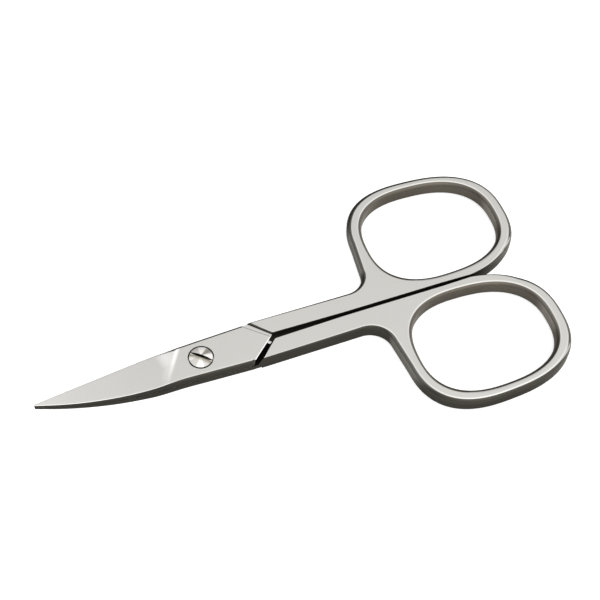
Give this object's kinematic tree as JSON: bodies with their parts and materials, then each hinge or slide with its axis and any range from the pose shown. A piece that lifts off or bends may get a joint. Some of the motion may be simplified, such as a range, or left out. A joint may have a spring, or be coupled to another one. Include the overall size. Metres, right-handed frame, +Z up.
{
  "type": "curved nail scissors",
  "caption": "Small satin steel nail scissors with curved tapering blades, a slotted pivot screw in a lap joint and oval finger rings.",
  "frame": {"origin": "on the pivot screw's axis, in the plane that the closed scissors rest on", "axes": "+X along the shanks towards the finger rings, +Y towards the upper half's ring, +Z up along the pivot's axis"},
  "size_m": [0.09, 0.0474, 0.0039],
  "materials": {
    "lower_half_steel": "satin ground",
    "upper_half_steel": "satin ground",
    "screw_steel": "polished"
  },
  "bodies": {
    "lower_half": {"lower_half": "lower_half_steel", "pivot_screw": "screw_steel"},
    "upper_half": {"upper_half": "upper_half_steel"}
  },
  "joints": [
    {"name": "pivot", "type": "hinge", "parent": "lower_half", "child": "upper_half", "pos_m": [0, 0, 0], "axis": [0, 0, 1], "range_deg": [0, 55]}
  ]
}
